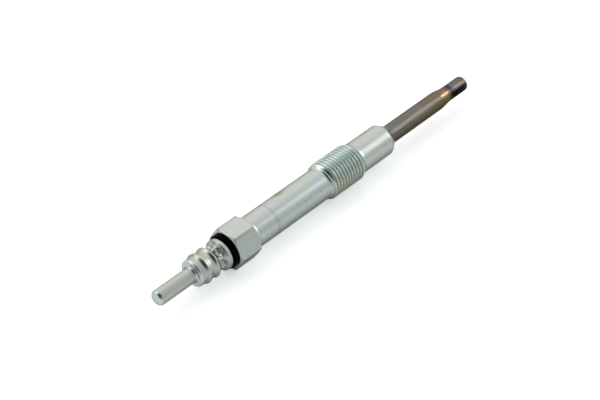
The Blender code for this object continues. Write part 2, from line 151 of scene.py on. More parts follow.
def math_node(tree, operation, first, second=0.0):
    """A Math node's result, from two numbers or sockets."""
    node = tree.nodes.new("ShaderNodeMath")
    node.operation = operation
    for socket, value in zip(node.inputs, (first, second)):
        if isinstance(value, bpy.types.NodeSocket):
            tree.links.new(value, socket)
        else:
            socket.default_value = value
    return node.outputs[0]


def mix_colors(tree, factor, first, second, blend="MIX"):
    """The result of mixing two colours by a factor."""
    node = tree.nodes.new("ShaderNodeMix")
    node.data_type = "RGBA"
    node.blend_type = blend
    for socket, value in ((node.inputs["Factor"], factor), (node.inputs[6], first), (node.inputs[7], second)):
        if isinstance(value, bpy.types.NodeSocket):
            tree.links.new(value, socket)
        elif socket.type == "RGBA":
            socket.default_value = (*value, 1.0)
        else:
            socket.default_value = value
    return node.outputs[2]


def ramp(tree, value, low, high, to_low=0.0, to_high=1.0):
    """Turns the range from low to high of a value softly into another range."""
    node = add_node(tree, "ShaderNodeMapRange", {"interpolation_type": "SMOOTHSTEP"}, Value=value)
    for name, number in (("From Min", low), ("From Max", high), ("To Min", to_low), ("To Max", to_high)):
        node.inputs[name].default_value = number
    return node.outputs[0]


print("node helpers ready")

# %% Say where the tent's places are, how far they reach and how bright they are
TENT_FRONT = 0.68
TENT_BACK = 1.15
FRONT_TINT, BACK_TINT, OPENING_TINT = (0.92, 0.99, 1.02), (1.0, 0.99, 0.94), (0.70, 1.0, 0.88)
OPEN_SIDE, OPEN_REACH = Vector((-0.62, -0.30, 0.72)).normalized(), (0.60, 0.88)
OPEN_GLOW = 0.04
WINDOW_SIDE, WINDOW_REACH = Vector((-0.36, 0.58, 0.73)).normalized(), (0.90, 0.97)
WINDOW_GLOW = 1.0
CORNER_SIDE, CORNER_REACH = Vector((-0.55, 0.83, -0.10)).normalized(), (0.78, 0.96)
CORNER_SHARE = 0.35
DOOR_SIDE, DOOR_REACH = Vector((0.87, -0.32, 0.38)).normalized(), (0.93, 0.98)
DOOR_GLOW = 0.9
print("tent cloth from", TENT_FRONT, "at the front to", TENT_BACK, "at the back")

# %% Light the world with the tent
world = bpy.data.worlds.new("studio_tent")
world.use_nodes = True
bpy.context.scene.world = world
tree = world.node_tree
tree.nodes.clear()
direction = add_node(tree, "ShaderNodeTexCoord").outputs["Generated"]
split = add_node(tree, "ShaderNodeSeparateXYZ", Vector=direction)
cloth = ramp(tree, split.outputs["Y"], -0.6, 0.55, TENT_FRONT, TENT_BACK)


def nearness(side):
    """How nearly a direction in the world points to one side, up to 1."""
    node = add_node(tree, "ShaderNodeVectorMath", {"operation": "DOT_PRODUCT"})
    tree.links.new(direction, node.inputs[0])
    node.inputs[1].default_value = side
    return node.outputs["Value"]


opening = ramp(tree, nearness(OPEN_SIDE), *OPEN_REACH, 1.0, OPEN_GLOW)
cloth = math_node(tree, "ADD", cloth, ramp(tree, nearness(WINDOW_SIDE), *WINDOW_REACH, 0.0, WINDOW_GLOW))
cloth = math_node(tree, "ADD", cloth, ramp(tree, nearness(DOOR_SIDE), *DOOR_REACH, 0.0, DOOR_GLOW))
cloth = math_node(tree, "MULTIPLY", cloth, ramp(tree, nearness(CORNER_SIDE), *CORNER_REACH, 1.0, CORNER_SHARE))
tint = mix_colors(tree, ramp(tree, split.outputs["Y"], -0.5, 0.5), FRONT_TINT, BACK_TINT)
tint = mix_colors(tree, opening, OPENING_TINT, tint)
tent = add_node(tree, "ShaderNodeBackground", Color=tint, Strength=math_node(tree, "MULTIPLY", cloth, opening))
white = add_node(tree, "ShaderNodeBackground", Color=(1.0, 1.0, 1.0, 1.0), Strength=1.0)
rays = add_node(tree, "ShaderNodeLightPath")
straight = math_node(tree, "MAXIMUM", rays.outputs["Is Camera Ray"], rays.outputs["Is Transmission Ray"])
seen = add_node(tree, "ShaderNodeMixShader")
tree.links.new(straight, seen.inputs[0])
tree.links.new(tent.outputs[0], seen.inputs[1])
tree.links.new(white.outputs[0], seen.inputs[2])
output = add_node(tree, "ShaderNodeOutputWorld")
tree.links.new(seen.outputs[0], output.inputs["Surface"])
print("world:", len(tree.nodes), "nodes")

# %% [markdown]
# One soft lamp stands in the tent, beyond the heater's tip and on the near side.  It draws the bright streak
# along the shank and the nose.  It is a square of light a hand wide, because a small bulb would leave hard dots
# on the metal.  The streak fades towards the terminal, because the lamp is close enough to be seen at a
# different angle from each place on the plug.  A second, small lamp is held in a narrow beam on the slope before
# the tip, and gives that slope its short golden gleam.  It is linked to the tube alone, which does what a screen
# with a small hole would do, so the paper round the tip keeps its soft shadow.

# %% Place the two lamps
def soft_lamp(name, place, target, side, radiance, color, beam_degrees=180.0):
    """A square lamp that looks as bright as the given share of white and aims at a target.

    A narrow beam gathers the light, so it needs less power for the same brightness.
    """
    data = bpy.data.lights.new(name, "AREA")
    data.shape = "SQUARE"
    data.size = side
    data.spread = math.radians(beam_degrees)
    data.energy = radiance * 4 * side * side
    if beam_degrees < 90.0:
        data.energy *= math.radians(beam_degrees / 2) ** 2 / 3
    data.color = color
    lamp = bpy.data.objects.new(name, data)
    bpy.context.scene.collection.objects.link(lamp)
    lamp.location = place
    lamp.rotation_euler = (Vector(place) - Vector(target)).to_track_quat("Z", "Y").to_euler()
    lamp.visible_camera = False
    return lamp


side_lamp = soft_lamp("side_lamp", place=(0.205, -0.105, 0.1515), target=(0.018, 0.0, 0.005),
                      side=0.14, radiance=0.75, color=(1.0, 1.0, 0.96))
tip_lamp = soft_lamp("tip_lamp", place=(0.2546, -0.0623, 0.1294), target=(0.047, 0.0, 0.005),
                     side=0.045, radiance=26.0, color=(1.0, 0.98, 0.95), beam_degrees=16.0)
tip_lamp_lights = bpy.data.collections.new("tip_lamp_lights")
tip_lamp.light_linking.receiver_collection = tip_lamp_lights
print("lamps:", side_lamp.name, tip_lamp.name)

# %% [markdown]
# The bench is a wide pale sheet.  It takes light and shadow like paper, and a little glow of its own lifts it to
# the white of the picture's background, for the lens and for the reflections in the metal.

# %% Lay the white sheet
SHEET_RADIUS = 1.2
SHEET_COLOR = (0.97, 0.975, 0.98, 1.0)
SHEET_GLOW_SEEN = 0.50
SHEET_GLOW_REFLECTED = 0.09

sheet_mesh = bpy.data.meshes.new("white_sheet")
shape = bmesh.new()
bmesh.ops.create_circle(shape, cap_ends=True, segments=96, radius=SHEET_RADIUS)
shape.to_mesh(sheet_mesh)
shape.free()
sheet = bpy.data.objects.new("white_sheet", sheet_mesh)
bpy.context.scene.collection.objects.link(sheet)
sheet.location.z = cad_box[0][2]
sheet_paper = bpy.data.materials.new("white_paper")
sheet_paper.use_nodes = True
tree = sheet_paper.node_tree
paper = tree.nodes["Principled BSDF"]
paper.inputs["Base Color"].default_value = SHEET_COLOR
paper.inputs["Roughness"].default_value = 0.9
paper.inputs["Specular IOR Level"].default_value = 0.0
paper.inputs["Emission Color"].default_value = (1.0, 1.0, 1.0, 1.0)
rays = add_node(tree, "ShaderNodeLightPath")
reflected = math_node(tree, "MAXIMUM", rays.outputs["Is Glossy Ray"], rays.outputs["Is Transmission Ray"])
glow = math_node(tree, "ADD", math_node(tree, "MULTIPLY", rays.outputs["Is Camera Ray"], SHEET_GLOW_SEEN),
                 math_node(tree, "MULTIPLY", reflected, SHEET_GLOW_REFLECTED))
tree.links.new(glow, paper.inputs["Emission Strength"])
sheet_mesh.materials.append(sheet_paper)
print("sheet", 2 * SHEET_RADIUS, "m across")

# %% [markdown]
# ## How a turned piece is made
# A lathe turns an outline about an axis, and so does this helper.  It lays out rows of points along the outline
# and columns round the axis.  Unlike a plain Screw modifier, each point may then be pushed in, so the same
# helper can mill a hexagon, cut a thread and press a crimp.  The edges of the outline are broken slightly, as a
# file would do, because a perfectly sharp edge never catches the light.

# %% Outlines: broken edges, round corners and close rows
def arc(center_station, center_radius, size, start, end, points=10):
    """A round corner.  An angle of 0 degrees points to the heater, and one of 90 away from the axis."""
    angles = np.radians(np.linspace(start, end, points + 1))
    return [(center_station + size * math.cos(a), center_radius + size * math.sin(a)) for a in angles]


def swell(station_a, radius_a, station_b, radius_b, points=14):
    """A smooth S-shaped stretch from one radius to another."""
    shares = np.linspace(0.0, 1.0, points + 1)
    eases = (1 - np.cos(np.pi * shares)) / 2
    return [(station_a + (station_b - station_a) * u, radius_a + (radius_b - radius_a) * e)
            for u, e in zip(shares, eases)]


def broken(outline, size, smallest_angle=12.0, points=3):
    """Breaks each sharp corner of an outline with a small curve."""
    result = [outline[0]]
    for before, here, after in zip(outline, outline[1:], outline[2:]):
        a, b, c = (np.array(point) for point in (before, here, after))
        into, out = b - a, c - b
        length_in, length_out = np.linalg.norm(into), np.linalg.norm(out)
        if min(length_in, length_out) < 1e-9:
            continue
        turn = math.degrees(math.acos(np.clip(into @ out / length_in / length_out, -1.0, 1.0)))
        if turn < smallest_angle:
            result.append(here)
            continue
        reach = min(size, length_in * 0.4, length_out * 0.4)
        start, end = b - into / length_in * reach, b + out / length_out * reach
        for u in np.linspace(0.0, 1.0, points + 1):
            result.append(tuple((1 - u) ** 2 * start + 2 * u * (1 - u) * b + u * u * end))
    result.append(outline[-1])
    return result


def close_rows(outline, spacing, first, last):
    """Adds rows between the points of an outline where it runs between two stations."""
    result = [outline[0]]
    for (sa, ra), (sb, rb) in zip(outline, outline[1:]):
        inside = first <= min(sa, sb) and max(sa, sb) <= last
        count = max(1, math.ceil(math.hypot(sb - sa, rb - ra) / spacing)) if inside else 1
        for index in range(1, count + 1):
            result.append((sa + (sb - sa) * index / count, ra + (rb - ra) * index / count))
    return result


print("outline of a broken corner:", broken([(0, 0), (0, 1), (1, 1)], 0.2)[1:4])

# %% Turn an outline into a mesh
COLUMNS = 180
column_angles = 2 * np.pi * np.arange(COLUMNS) / COLUMNS


def soft_min(first, second, softness):
    """The smaller of two radii, with a small round where they meet."""
    blend = np.clip(0.5 + 0.5 * (second - first) / softness, 0.0, 1.0)
    return second + (first - second) * blend - softness * blend * (1.0 - blend)


def turned_rows(outline, push=None):
    """Stations and radii of all points, one row for each point of the outline."""
    stations = np.array([point[0] for point in outline])[:, None] * np.ones(COLUMNS)
    radii = np.array([point[1] for point in outline])[:, None] * np.ones(COLUMNS)
    if push:
        radii = push(stations, radii, column_angles[None, :])
    return stations, radii, 0


def make_piece(name, surfaces, sharp_degrees=35.0):
    """One object from one or more sets of rows, joined where their end rows meet."""
    points, faces = [], []
    for stations, radii, lead in surfaces:
        base = len(points)
        rows = len(stations)
        x = PIN_END_X + stations * MM
        y = radii * MM * np.cos(column_angles)
        z = AXIS_HEIGHT + radii * MM * np.sin(column_angles)
        points.extend(np.stack([x, y, z], -1).reshape(-1, 3).tolist())
        for row in range(rows - 1):
            for column in range(COLUMNS):
                step = 0 if column < COLUMNS - 1 else lead
                if row + 1 + step >= rows:
                    continue
                beside = (column + 1) % COLUMNS
                faces.append((base + row * COLUMNS + column, base + (row + 1) * COLUMNS + column,
                              base + (row + 1 + step) * COLUMNS + beside, base + (row + step) * COLUMNS + beside))
    mesh = bpy.data.meshes.new(name)
    mesh.from_pydata(points, [], faces)
    shape = bmesh.new()
    shape.from_mesh(mesh)
    bmesh.ops.remove_doubles(shape, verts=shape.verts, dist=2e-7)
    bmesh.ops.dissolve_degenerate(shape, edges=shape.edges, dist=1e-8)
    bmesh.ops.recalc_face_normals(shape, faces=shape.faces)
    shape.to_mesh(mesh)
    open_edges = sum(1 for edge in shape.edges if len(edge.link_faces) != 2)
    shape.free()
    mesh.shade_smooth()
    mesh.set_sharp_from_angle(angle=math.radians(sharp_degrees))
    piece = bpy.data.objects.new(name, mesh)
    bpy.context.scene.collection.objects.link(piece)
    print(f"{name}: {len(mesh.polygons)} faces, {open_edges} open edges")
    return piece


# %% [markdown]
# ## The steel body
# The real body is one steel bar: turned, drilled, milled to a hexagon at one end and threaded near the other.
# The hexagon's flats meet the turned chamfers in the curved lines that every nut has.  The helper gets them by
# taking, at each point, the smaller of the turned radius and the distance to the flat.  Behind the hexagon a
# hollow fillet leads down to the shank, and its far end catches the side lamp in one small bright spot.

# %% The hexagon and the shank
HEX_LENGTH = 7.0
HEX_FLAT_RADIUS = 5.0
HEX_CORNER_RADIUS = 5.675
HEX_FACE_RADIUS = 4.9
FRONT_CHAMFER_ANGLE = 30.0
REAR_CHAMFER_ANGLE = 38.0
HEX_END = hex_face + HEX_LENGTH
SHANK_RADIUS = 4.22
FILLET_LENGTH, FILLET_HEIGHT = 1.05, 0.5
THREAD_START = HEX_END + 25.85
SEAL_POCKET_RADIUS = 3.1
SEAL_POCKET_DEPTH = 2.7
BORE_RADIUS = 2.3
EDGE_ROUND = 0.05


def mill_hexagon(stations, radii, angles):
    """Limits the radius to a hexagon that lies on one of its flats."""
    from_flat = angles % math.radians(60.0) - math.radians(30.0)
    return soft_min(radii, HEX_FLAT_RADIUS / np.cos(from_flat), EDGE_ROUND)


front_chamfer = (HEX_CORNER_RADIUS - HEX_FACE_RADIUS) * math.tan(math.radians(FRONT_CHAMFER_ANGLE))
rear_chamfer = (HEX_CORNER_RADIUS - HEX_FACE_RADIUS) * math.tan(math.radians(REAR_CHAMFER_ANGLE))
pocket_end = hex_face + SEAL_POCKET_DEPTH
head = [(pocket_end, BORE_RADIUS), (pocket_end, SEAL_POCKET_RADIUS), (hex_face, SEAL_POCKET_RADIUS)]
head += [(hex_face, HEX_FACE_RADIUS), (hex_face + front_chamfer, HEX_CORNER_RADIUS)]
head += [(HEX_END - rear_chamfer, HEX_CORNER_RADIUS), (HEX_END, HEX_FACE_RADIUS)]
head += [(HEX_END, SHANK_RADIUS + FILLET_HEIGHT)]
head = broken(head, 0.07)
head = close_rows(head, 0.045, hex_face - 0.01, hex_face + front_chamfer + 0.2)
head = close_rows(head, 0.045, HEX_END - rear_chamfer - 0.2, HEX_END + 0.01)
fillet_angles = np.radians(np.linspace(0, 90, 13))
head += [(HEX_END + FILLET_LENGTH * (1 - math.cos(a)), SHANK_RADIUS + FILLET_HEIGHT * (1 - math.sin(a)))
         for a in fillet_angles]
head += [(THREAD_START - 0.5, SHANK_RADIUS), (THREAD_START, SHANK_RADIUS)]
head_rows = turned_rows(head, mill_hexagon)
print("hexagon", 2 * HEX_FLAT_RADIUS, "mm across its flats, from", round(hex_face, 2), "to", round(HEX_END, 2))

# %% [markdown]
# The thread is a real screw surface, because at this scale its lines carry the look of the whole middle.  The
# rows of points follow the screw line: one turn round the axis leads on to the row one pitch further along.  The
# ridges are rounded, as rolled threads are.  At both ends the thread runs out on a cone: there the smaller of the
# two radii, the ridge's or the cone's, is taken.  A short hollow foot then leads from the last cone to the nose.

# %% The M10 x 1 thread
PITCH = 1.0
THREAD_LENGTH = 12.3
CREST_RADIUS = 5.0
THREAD_DEPTH = 0.54
START_CONE = 1.15
END_CONE = 1.15
THREAD_TURN = -0.143
NOSE_RADIUS = 4.25
FOOT_RADIUS = NOSE_RADIUS + 0.14
FOOT_LENGTH = 0.95
THREAD_END = THREAD_START + THREAD_LENGTH
ridge = [(0.0, 0.0), (0.06, 0.01), (0.10, 0.06), (0.14, 0.18), (0.25, 0.52), (0.36, 0.86), (0.42, 0.98),
         (0.50, 1.0), (0.58, 0.98), (0.64, 0.86), (0.75, 0.52), (0.86, 0.18), (0.90, 0.06), (0.94, 0.01)]
shares = np.array([point[0] for point in ridge])
depths = np.array([point[1] for point in ridge]) * THREAD_DEPTH
turns = math.ceil(THREAD_LENGTH / PITCH) + 3
row_phase = (np.arange(turns)[:, None] + shares[None, :]).reshape(-1)
row_depth = np.tile(depths, turns)
stations = THREAD_START + (row_phase[:, None] - 1.5 - THREAD_TURN + column_angles[None, :] / (2 * np.pi)) * PITCH
stations = np.clip(stations, THREAD_START, THREAD_END)
limit = np.interp(stations, [THREAD_START, THREAD_START + START_CONE, THREAD_END - END_CONE, THREAD_END],
                  [SHANK_RADIUS, CREST_RADIUS, CREST_RADIUS, FOOT_RADIUS])
radii = soft_min(CREST_RADIUS - row_depth[:, None] * np.ones(COLUMNS), limit, EDGE_ROUND)
radii = np.minimum(radii, limit)
radii[stations <= THREAD_START] = SHANK_RADIUS
radii[stations >= THREAD_END] = FOOT_RADIUS
thread_rows = (stations, radii, len(ridge))
print("thread", len(stations), "rows, crest", CREST_RADIUS, "mm, from", round(THREAD_START, 2))

# %% The nose, the conical seat and the bore
NOSE_END = THREAD_START + 23.15
SEAT_END_RADIUS = 3.0
TUBE_BORE_RADIUS = 2.55
foot = [(THREAD_END + FOOT_LENGTH * u, NOSE_RADIUS + (FOOT_RADIUS - NOSE_RADIUS) * (1 - u) ** 2)
        for u in np.linspace(0, 1, 11)]
nose = [(NOSE_END - 0.5, NOSE_RADIUS), (NOSE_END, NOSE_RADIUS)]
nose += [(body_end, SEAT_END_RADIUS), (body_end, TUBE_BORE_RADIUS), (tube_start - SEAT_GAP, TUBE_BORE_RADIUS)]
nose += [(tube_start - SEAT_GAP, BORE_RADIUS), (pocket_end, BORE_RADIUS)]
nose_rows = turned_rows(foot + broken(nose, 0.12))
body = make_piece("steel_body", [head_rows, thread_rows, nose_rows])
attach(body, "root")
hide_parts("plug_body")

# %% [markdown]
# ## The terminal
# The terminal is turned in one piece: a plain round pin, a collar with two rounded ridges, a neck and a flange.
# Its neck is then pressed on the rod inside at six places.  Each print of the punch is a round dent with a flat
# floor and sloped walls, so the radius is lowered by a soft step that depends on the distance from the dent's
# middle.  The dents reach into the ridge before them and the cone behind them, as pressed metal does.

# %% The punch that presses the neck
NECK_RADIUS = 3.15
PUNCH_ACROSS, PUNCH_ALONG = 1.5, 1.1
PUNCH_FLOOR = 0.40
PUNCH_STATION = 18.95
PUNCH_DEPTH = 0.62
PUNCH_TURN = -62.0


def press_crimps(stations, radii, angles):
    """Presses six rounded dents in the neck, evenly spaced round the axis."""
    turn = (angles - math.radians(PUNCH_TURN) + math.radians(30.0)) % math.radians(60.0) - math.radians(30.0)
    reach = np.hypot(NECK_RADIUS * turn / PUNCH_ACROSS, (stations - PUNCH_STATION) / PUNCH_ALONG)
    share = np.clip((1.0 - reach) / (1.0 - PUNCH_FLOOR), 0.0, 1.0)
    return radii - PUNCH_DEPTH * share * share * (3.0 - 2.0 * share)


print("a punch of", 2 * PUNCH_ACROSS, "by", 2 * PUNCH_ALONG, "mm presses", PUNCH_DEPTH, "mm deep")

# %% Turn the terminal and press its neck
PIN_RADIUS = 2.0
PIN_LENGTH = 11.5
PIN_DOME = 0.05
PIN_ROUNDING = 1.05
PIN_FILLET = 0.65
COLLAR_RADIUS = 3.55
COLLAR_ROUNDING = 0.55
COLLAR_END = 13.3
FIRST_CREST, SECOND_CREST = 14.05, 17.0
RIDGE_RADIUS = 4.0
GROOVE_START, GROOVE_END = 15.65, 16.15
GROOVE_RADIUS = 3.6
NECK_START, NECK_END = 18.2, 19.55
FLANGE_RADIUS = 4.075
FLANGE_RIM = 0.95
SOCKET_RADIUS = 1.75
SOCKET_DEPTH = 7.5

pin = [(0.0, 0.0)] + arc(PIN_DOME + PIN_ROUNDING, PIN_RADIUS - PIN_ROUNDING, PIN_ROUNDING, 180, 90, 16)
pin += arc(PIN_LENGTH - PIN_FILLET, PIN_RADIUS + PIN_FILLET, PIN_FILLET, 270, 360, 12)
pin += arc(PIN_LENGTH + COLLAR_ROUNDING, COLLAR_RADIUS - COLLAR_ROUNDING, COLLAR_ROUNDING, 180, 90, 12)
pin += swell(COLLAR_END, COLLAR_RADIUS, FIRST_CREST, RIDGE_RADIUS)
pin += swell(FIRST_CREST, RIDGE_RADIUS, GROOVE_START, GROOVE_RADIUS)[1:]
pin += swell(GROOVE_END, GROOVE_RADIUS, SECOND_CREST, RIDGE_RADIUS)
pin += swell(SECOND_CREST, RIDGE_RADIUS, NECK_START, NECK_RADIUS)[1:]
socket_end = flange_back - SOCKET_DEPTH
flange = [(NECK_START + 0.05, NECK_RADIUS), (NECK_END, NECK_RADIUS)]
flange += [(flange_back - FLANGE_RIM, FLANGE_RADIUS), (flange_back, FLANGE_RADIUS)]
flange += [(flange_back, SOCKET_RADIUS), (socket_end, SOCKET_RADIUS), (socket_end, 0.0)]
flange = close_rows(broken(flange, 0.12), 0.05, NECK_START, flange_back)
terminal = make_piece("turned_terminal", [turned_rows(pin + flange, press_crimps)])
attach(terminal, "root")
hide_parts("terminal_pin")

# %% [markdown]
# ## The insulating disc
# The disc keeps the terminal off the body.  It is moulded, so its front edge is well rounded, and a boss at its
# back sits in the body's pocket on top of the rubber seal.  Nobody sees the boss, but the outline costs only one
# line more with it.

# %% Make the disc
DISC_RADIUS = 4.5
DISC_ROUNDING = 0.65
DISC_RIM = 0.75
DISC_BACK_EDGE = 0.06
DISC_BORE_RADIUS = 1.75
BOSS_RADIUS, BOSS_LENGTH = 3.05, 1.2
disc_back = hex_face - SEAT_GAP
boss_end = disc_back + BOSS_LENGTH
disc = [(disc_front, DISC_BORE_RADIUS)]
disc += arc(disc_back - DISC_RIM, DISC_RADIUS - DISC_ROUNDING, DISC_ROUNDING, 180, 90, 12)
disc += [(disc_back - DISC_BACK_EDGE, DISC_RADIUS), (disc_back, DISC_RADIUS - DISC_BACK_EDGE)]
disc += [(disc_back, BOSS_RADIUS), (boss_end, BOSS_RADIUS), (boss_end, DISC_BORE_RADIUS)]
disc += [(disc_front, DISC_BORE_RADIUS)]
insulator = make_piece("moulded_disc", [turned_rows(disc)])
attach(insulator, "root")
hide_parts("insulating_disc")

# %% [markdown]
# ## The heater tube
# The tube is one thin sheath, closed at its tip.  It is swaged, which means hammered down between rotating dies,
# and that leaves a long smooth slope before the thinner tip.  The same kind of S-shaped stretch that made the
# terminal's ridges makes the slope, outside and inside.

# %% Make the heater tube
TUBE_RADIUS = 2.5
TIP_RADIUS = 2.05
TUBE_WALL = 0.55
SWAGE_START = body_end + 19.65
TIP_START = SWAGE_START + 4.8
TIP_ROUNDING = 0.9
TIP_WALL = 0.9
sheath = [(plug_length, 0.0)] + arc(plug_length - TIP_ROUNDING, TIP_RADIUS - TIP_ROUNDING, TIP_ROUNDING, 0, 90, 14)
sheath += [(TIP_START + 2.0, TIP_RADIUS)] + swell(TIP_START, TIP_RADIUS, SWAGE_START, TUBE_RADIUS, 20)
sheath += [(body_end, TUBE_RADIUS), (tube_start, TUBE_RADIUS), (tube_start, TUBE_RADIUS - TUBE_WALL)]
sheath += swell(SWAGE_START, TUBE_RADIUS - TUBE_WALL, TIP_START, TIP_RADIUS - TUBE_WALL, 20)
sheath += [(plug_length - TIP_WALL, TIP_RADIUS - TUBE_WALL), (plug_length - TIP_WALL, 0.0)]
tube = make_piece("heater_sheath", [turned_rows(sheath)])
tip_lamp_lights.objects.link(tube)
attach(tube, "root")
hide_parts("glow_tube")

# %% [markdown]
# ## Finishes that are used more than once
# Cutting, drawing and plating leave marks that many metals share, so each is a node group of its own.  Rings run
# round the axis and come from the lathe.  Streaks run along it and come from drawing and swaging.  Clouds are
# slow changes of tone in plating.  Specks are tiny pits and dust.  A group only puts out a mask, and each
# material decides what to do with it.  Other marks belong to one place, such as the dark side of the tip, so a
# few helpers make masks from the place on the plug.

# %% Build the groups of marks
def mask_group(name, build):
    """A node group with the input Scale that puts out one mask."""
    group = bpy.data.node_groups.new(name, "ShaderNodeTree")
    scale = group.interface.new_socket("Scale", in_out="INPUT", socket_type="NodeSocketFloat")
    scale.default_value = 1.0
    group.interface.new_socket("Mask", in_out="OUTPUT", socket_type="NodeSocketFloat")
    start = group.nodes.new("NodeGroupInput")
    end = group.nodes.new("NodeGroupOutput")
    place = add_node(group, "ShaderNodeTexCoord").outputs["Object"]
    group.links.new(build(group, place, start.outputs["Scale"]), end.inputs["Mask"])
    print("group:", name)
    return group


def stretched(group, place, x, y, z):
    """The place on the object, with each axis scaled by itself."""
    node = add_node(group, "ShaderNodeMapping", Vector=place)
    node.inputs["Scale"].default_value = (x, y, z)
    return node.outputs[0]


def rings(group, place, scale):
    grain = add_node(group, "ShaderNodeTexNoise", Vector=stretched(group, place, 1000.0, 25.0, 25.0),
                     Scale=scale, Detail=3.0, Roughness=0.6)
    return ramp(group, grain.outputs[0], 0.30, 0.70)


def streaks(group, place, scale):
    grain = add_node(group, "ShaderNodeTexNoise", Vector=stretched(group, place, 60.0, 1000.0, 1000.0),
                     Scale=scale, Detail=4.0, Roughness=0.6)
    return ramp(group, grain.outputs[0], 0.30, 0.70)


def clouds(group, place, scale):
    grain = add_node(group, "ShaderNodeTexNoise", Vector=stretched(group, place, 1000.0, 1000.0, 1000.0),
                     Scale=scale, Detail=3.0, Roughness=0.55, Distortion=0.4)
    return ramp(group, grain.outputs[0], 0.34, 0.66)


def specks(group, place, scale):
    cells = add_node(group, "ShaderNodeTexVoronoi", Vector=stretched(group, place, 1000.0, 1000.0, 1000.0),
                     Scale=scale, Randomness=1.0)
    few = add_node(group, "ShaderNodeSeparateColor", Color=cells.outputs["Color"])
    dot = ramp(group, cells.outputs["Distance"], 0.10, 0.20, 1.0, 0.0)
    return math_node(group, "MULTIPLY", dot, ramp(group, few.outputs[0], 0.80, 0.86))


ring_marks = mask_group("lathe_rings", rings)
streak_marks = mask_group("drawing_streaks", streaks)
cloud_marks = mask_group("plating_clouds", clouds)
speck_marks = mask_group("pits_and_dust", specks)

# %% Start a material and place a group in it
def new_finish(name, color, metallic, roughness, edge=1.0):
    """A material whose shader has its constant values set.

    Any metal turns white where it is seen at a low angle.  An edge under 1 holds that back, as oxide films do.
    """
    material = bpy.data.materials.new(name)
    material.use_nodes = True
    shader = material.node_tree.nodes["Principled BSDF"]
    shader.inputs["Base Color"].default_value = (*color, 1.0)
    shader.inputs["Metallic"].default_value = metallic
    shader.inputs["Roughness"].default_value = roughness
    shader.inputs["Specular Tint"].default_value = (edge, edge, edge, 1.0)
    return material, material.node_tree, shader


def marks(tree, group, scale):
    """The mask of one of the groups, at a scale in marks per millimetre."""
    node = tree.nodes.new("ShaderNodeGroup")
    node.node_tree = group
    node.inputs["Scale"].default_value = scale
    return node.outputs["Mask"]


def raise_surface(tree, shader, height, depth_mm, strength=1.0):
    """Bumps the surface by a height mask, to a depth in millimetres."""
    bump = add_node(tree, "ShaderNodeBump", Strength=strength, Distance=depth_mm * MM, Height=height)
    tree.links.new(bump.outputs[0], shader.inputs["Normal"])
    return bump


print("a finish can start")

# %% Masks from the place on the plug
def height_mask(tree, low_mm, high_mm):
    """A mask that rises from 0 to 1 between two heights above the bench."""
    place = add_node(tree, "ShaderNodeTexCoord").outputs["Object"]
    z = add_node(tree, "ShaderNodeSeparateXYZ", Vector=place).outputs["Z"]
    return ramp(tree, z, low_mm * MM, high_mm * MM)


def spot_mask(tree, center_mm, size_mm):
    """A mask of a soft egg-shaped spot, from its centre and its half sizes along X, Y and Z."""
    place = add_node(tree, "ShaderNodeTexCoord").outputs["Object"]
    size = add_node(tree, "ShaderNodeMapping", {"vector_type": "TEXTURE"}, Vector=place)
    size.inputs["Location"].default_value = [value * MM for value in center_mm]
    size.inputs["Scale"].default_value = [value * MM for value in size_mm]
    away = add_node(tree, "ShaderNodeVectorMath", {"operation": "LENGTH"})
    tree.links.new(size.outputs[0], away.inputs[0])
    return ramp(tree, away.outputs["Value"], 0.2, 1.0, 1.0, 0.0)


def radius_mask(tree, low_mm, high_mm):
    """A mask that rises from 0 to 1 between two distances from the plug's axis."""
    place = add_node(tree, "ShaderNodeTexCoord").outputs["Object"]
    flat = add_node(tree, "ShaderNodeMapping", Vector=place)
    flat.inputs["Location"].default_value = (0.0, 0.0, -AXIS_HEIGHT)
    flat.inputs["Scale"].default_value = (0.0, 1.0, 1.0)
    away = add_node(tree, "ShaderNodeVectorMath", {"operation": "LENGTH"})
    tree.links.new(flat.outputs[0], away.inputs[0])
    return ramp(tree, away.outputs["Value"], low_mm * MM, high_mm * MM)


def behind_corner(tree, width_degrees):
    """A mask of the narrow strip behind each of the hexagon's six corners."""
    place = add_node(tree, "ShaderNodeTexCoord").outputs["Object"]
    split = add_node(tree, "ShaderNodeSeparateXYZ", Vector=place)
    above_axis = math_node(tree, "SUBTRACT", split.outputs["Z"], AXIS_HEIGHT)
    angle = math_node(tree, "ARCTAN2", above_axis, split.outputs["Y"])
    angle = math_node(tree, "FLOORED_MODULO", angle, math.radians(60.0))
    return ramp(tree, angle, 0.0, math.radians(width_degrees), 1.0, 0.0)


print("masks by height, by radius, by spot and behind corners are ready")

# %% Colours and masks along the axis
def station_ramp(tree, stops, wobble=0.0):
    """A colour that changes along the axis.  Each stop is a station in millimetres and a colour."""
    place = add_node(tree, "ShaderNodeTexCoord").outputs["Object"]
    x = add_node(tree, "ShaderNodeSeparateXYZ", Vector=place).outputs["X"]
    first, last = stops[0][0], stops[-1][0]
    low, high = PIN_END_X + first * MM, PIN_END_X + last * MM
    share = math_node(tree, "DIVIDE", math_node(tree, "SUBTRACT", x, low), high - low)
    if wobble:
        noise = add_node(tree, "ShaderNodeTexNoise", Vector=place, Scale=400.0, Detail=2.0)
        shift = math_node(tree, "SUBTRACT", noise.outputs[0], 0.5)
        shift = math_node(tree, "MULTIPLY", shift, wobble / (last - first))
        share = math_node(tree, "ADD", share, shift)
    colors = tree.nodes.new("ShaderNodeValToRGB")
    tree.links.new(share, colors.inputs[0])
    elements = colors.color_ramp.elements
    while len(elements) < len(stops):
        elements.new(0.5)
    for element, (station, color) in zip(elements, stops):
        element.position = (station - first) / (last - first)
        element.color = (*color, 1.0)
    return colors.outputs[0]


def station_mask(tree, stops, wobble=0.0):
    """A mask that changes along the axis.  Each stop is a station in millimetres and a value."""
    grays = station_ramp(tree, [(station, (value, value, value)) for station, value in stops], wobble)
    return add_node(tree, "ShaderNodeSeparateColor", Color=grays).outputs[0]


